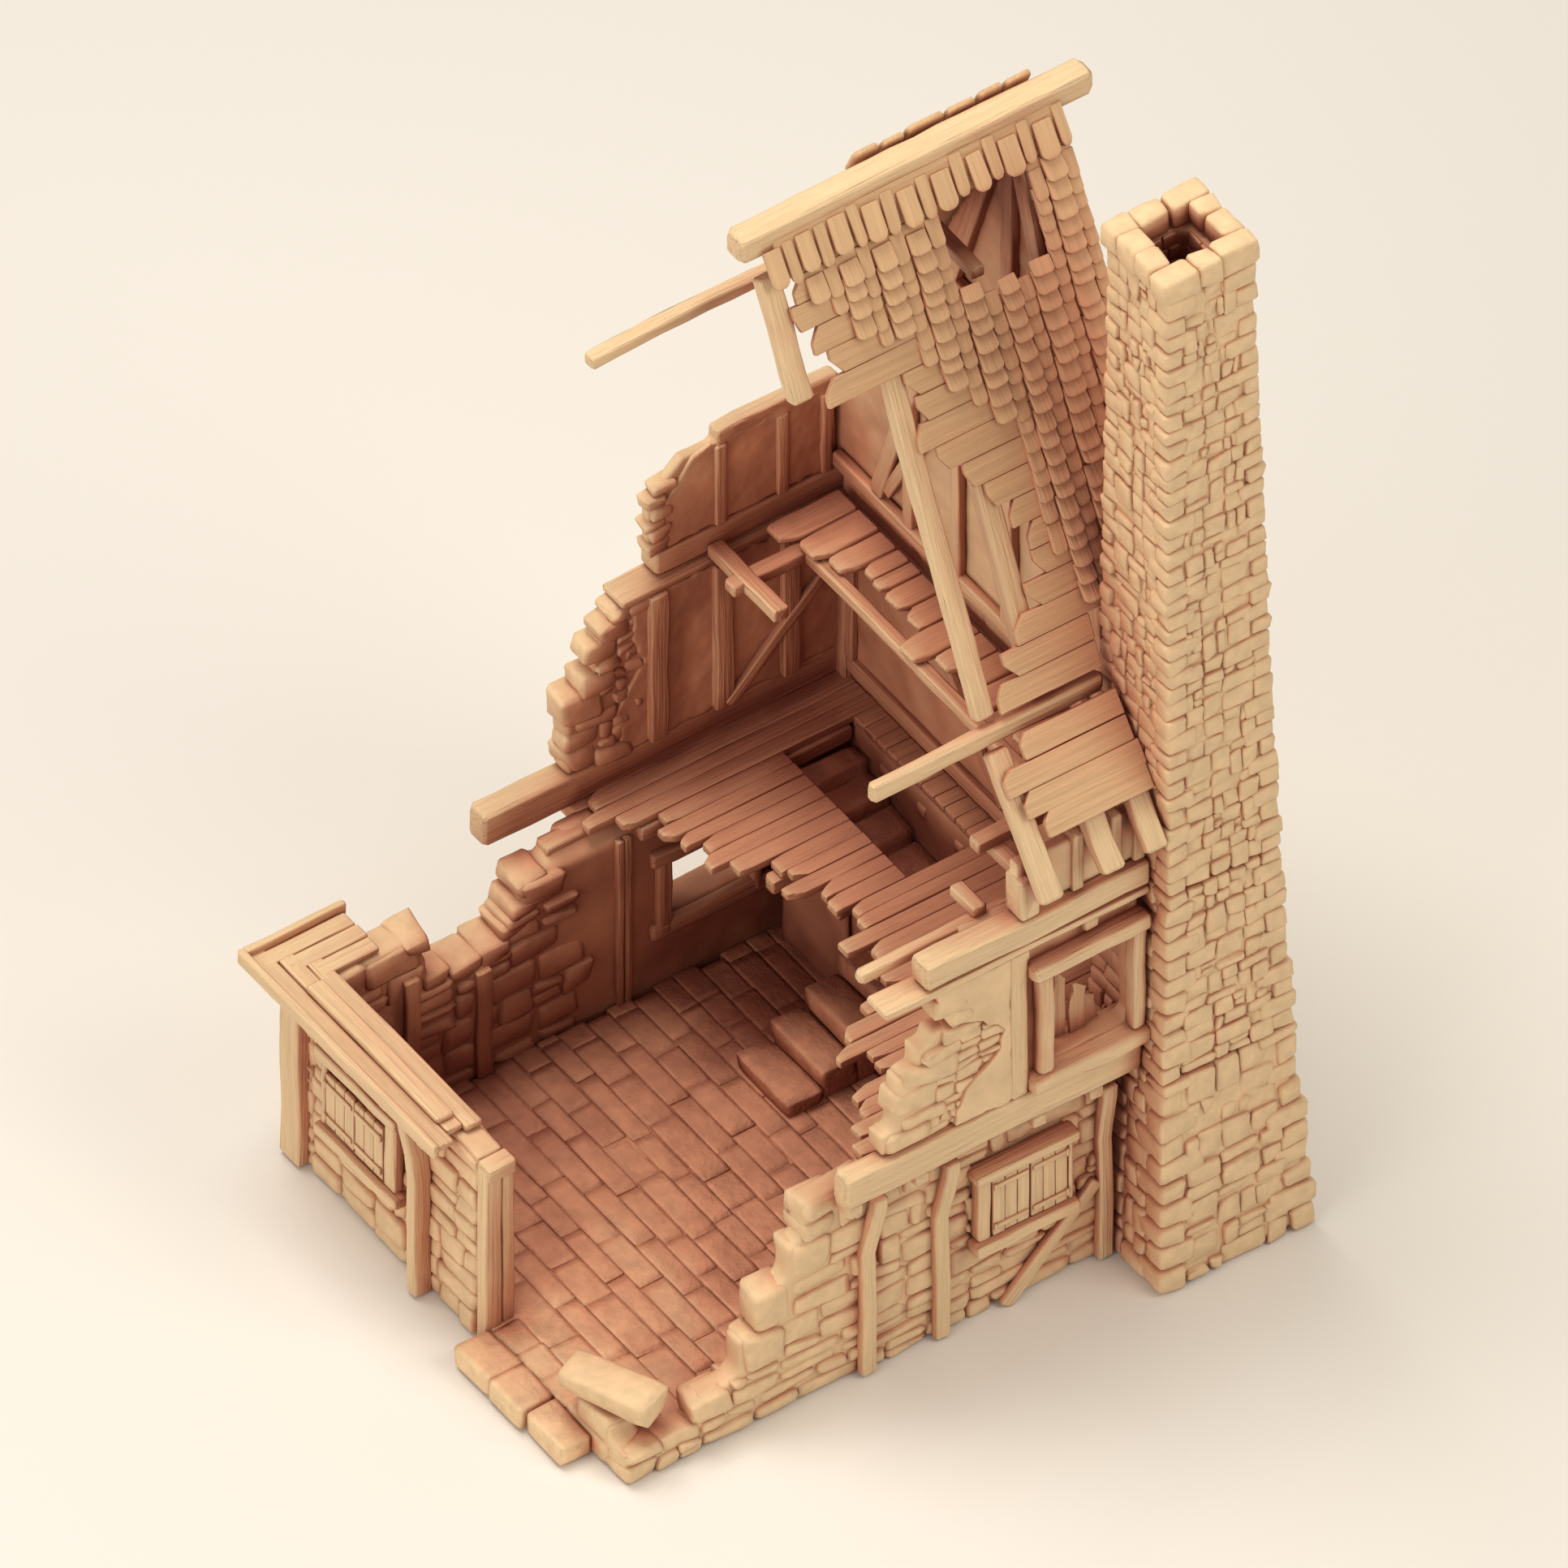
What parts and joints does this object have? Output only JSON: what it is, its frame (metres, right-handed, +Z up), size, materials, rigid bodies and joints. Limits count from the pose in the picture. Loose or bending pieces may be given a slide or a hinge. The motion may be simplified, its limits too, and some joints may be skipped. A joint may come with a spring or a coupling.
{
  "type": "miniature terrain ruin",
  "caption": "Tabletop terrain ruin: a broken half-timbered stone house with a tall chimney, shuttered windows and storeys that lift off to reach the rooms.",
  "frame": {"origin": "on the table under the plan centre of the ground storey, at the underside of the floor slab", "axes": "+Z up; +X along the long front wall from the broken corner to the chimney; +Y along the doorway wall from the broken corner to the back"},
  "size_m": [0.202, 0.1767, 0.34],
  "materials": {
    "printed_stone": "matte printed resin, sand beige, sculpted as stone",
    "printed_timber": "matte printed resin, sand beige, sculpted with wood grain",
    "printed_plaster": "matte printed resin, sand beige, sculpted as plaster",
    "printed_shingle": "matte printed resin, sand beige, sculpted as wooden shingles"
  },
  "bodies": {
    "ground_storey": {"base_floor": "printed_stone", "chimney_base": "printed_stone", "corner_post": "printed_timber", "door_post": "printed_timber", "doorstep_long": "printed_stone", "doorstep_short": "printed_stone", "facade_post": "printed_timber", "facade_window_frame": "printed_timber", "fallen_block": "printed_stone", "front_post_left": "printed_timber", "front_post_middle": "printed_timber", "front_post_right": "printed_timber", "front_window_frame": "printed_timber", "jetty_deck": "printed_timber", "stair_lower": "printed_stone", "stair_partition": "printed_timber", "stair_upper": "printed_stone", "wall_back": "printed_stone", "wall_front": "printed_stone", "wall_gable": "printed_stone", "wall_left": "printed_stone"},
    "upper_storey": {"floor_deck": "printed_timber", "floor_joists": "printed_timber", "sill_beam_front": "printed_timber", "sill_beam_back": "printed_timber", "upper_wall_front": "printed_plaster", "upper_window_frame": "printed_timber", "upper_plate_front": "printed_timber", "upper_wall_back": "printed_plaster", "upper_wall_gable": "printed_plaster", "upper_plate_back": "printed_timber", "chimney_middle": "printed_stone"},
    "roof_storey": {"eaves_beam_front": "printed_timber", "attic_beam_back": "printed_timber", "attic_wall_front": "printed_plaster", "attic_wall_back": "printed_plaster", "attic_gable": "printed_plaster", "gable_timbers": "printed_timber", "ridge_beam": "printed_timber", "purlin_front": "printed_timber", "purlin_back": "printed_timber", "rafter_left": "printed_timber", "rafter_middle": "printed_timber", "rafter_right": "printed_timber", "rafter_tail_left": "printed_timber", "rafter_tail_middle": "printed_timber", "rafter_tail_right": "printed_timber", "sheathing_front": "printed_timber", "shingles_front": "printed_shingle", "roof_back": "printed_shingle", "loft_floor": "printed_timber", "loft_trimmer": "printed_timber", "loft_batten": "printed_timber", "chimney_top": "printed_stone", "chimney_cap": "printed_stone"},
    "shutter_front_left": {"shutter_front_left": "printed_timber"},
    "shutter_front_right": {"shutter_front_right": "printed_timber"},
    "shutter_facade_left": {"shutter_facade_left": "printed_timber"},
    "shutter_facade_right": {"shutter_facade_right": "printed_timber"}
  },
  "joints": [
    {"name": "upper_lift", "type": "slide", "parent": "ground_storey", "child": "upper_storey", "axis": [0, 0, 1], "range_m": [0, 0.06]},
    {"name": "roof_lift", "type": "slide", "parent": "upper_storey", "child": "roof_storey", "axis": [0, 0, 1], "range_m": [0, 0.06]},
    {"name": "shutter_front_left_hinge", "type": "hinge", "parent": "ground_storey", "child": "shutter_front_left", "pos_m": [0.0293, -0.0746, 0.0388], "axis": [0, 0, -1], "range_deg": [0, 90]},
    {"name": "shutter_front_right_hinge", "type": "hinge", "parent": "ground_storey", "child": "shutter_front_right", "pos_m": [0.0518, -0.0746, 0.0388], "axis": [0, 0, 1], "range_deg": [0, 90]},
    {"name": "shutter_facade_left_hinge", "type": "hinge", "parent": "ground_storey", "child": "shutter_facade_left", "pos_m": [-0.0816, 0.0547, 0.0345], "axis": [0, 0, -1], "range_deg": [0, 90]},
    {"name": "shutter_facade_right_hinge", "type": "hinge", "parent": "ground_storey", "child": "shutter_facade_right", "pos_m": [-0.0816, 0.0303, 0.0345], "axis": [0, 0, 1], "range_deg": [0, 90]}
  ]
}
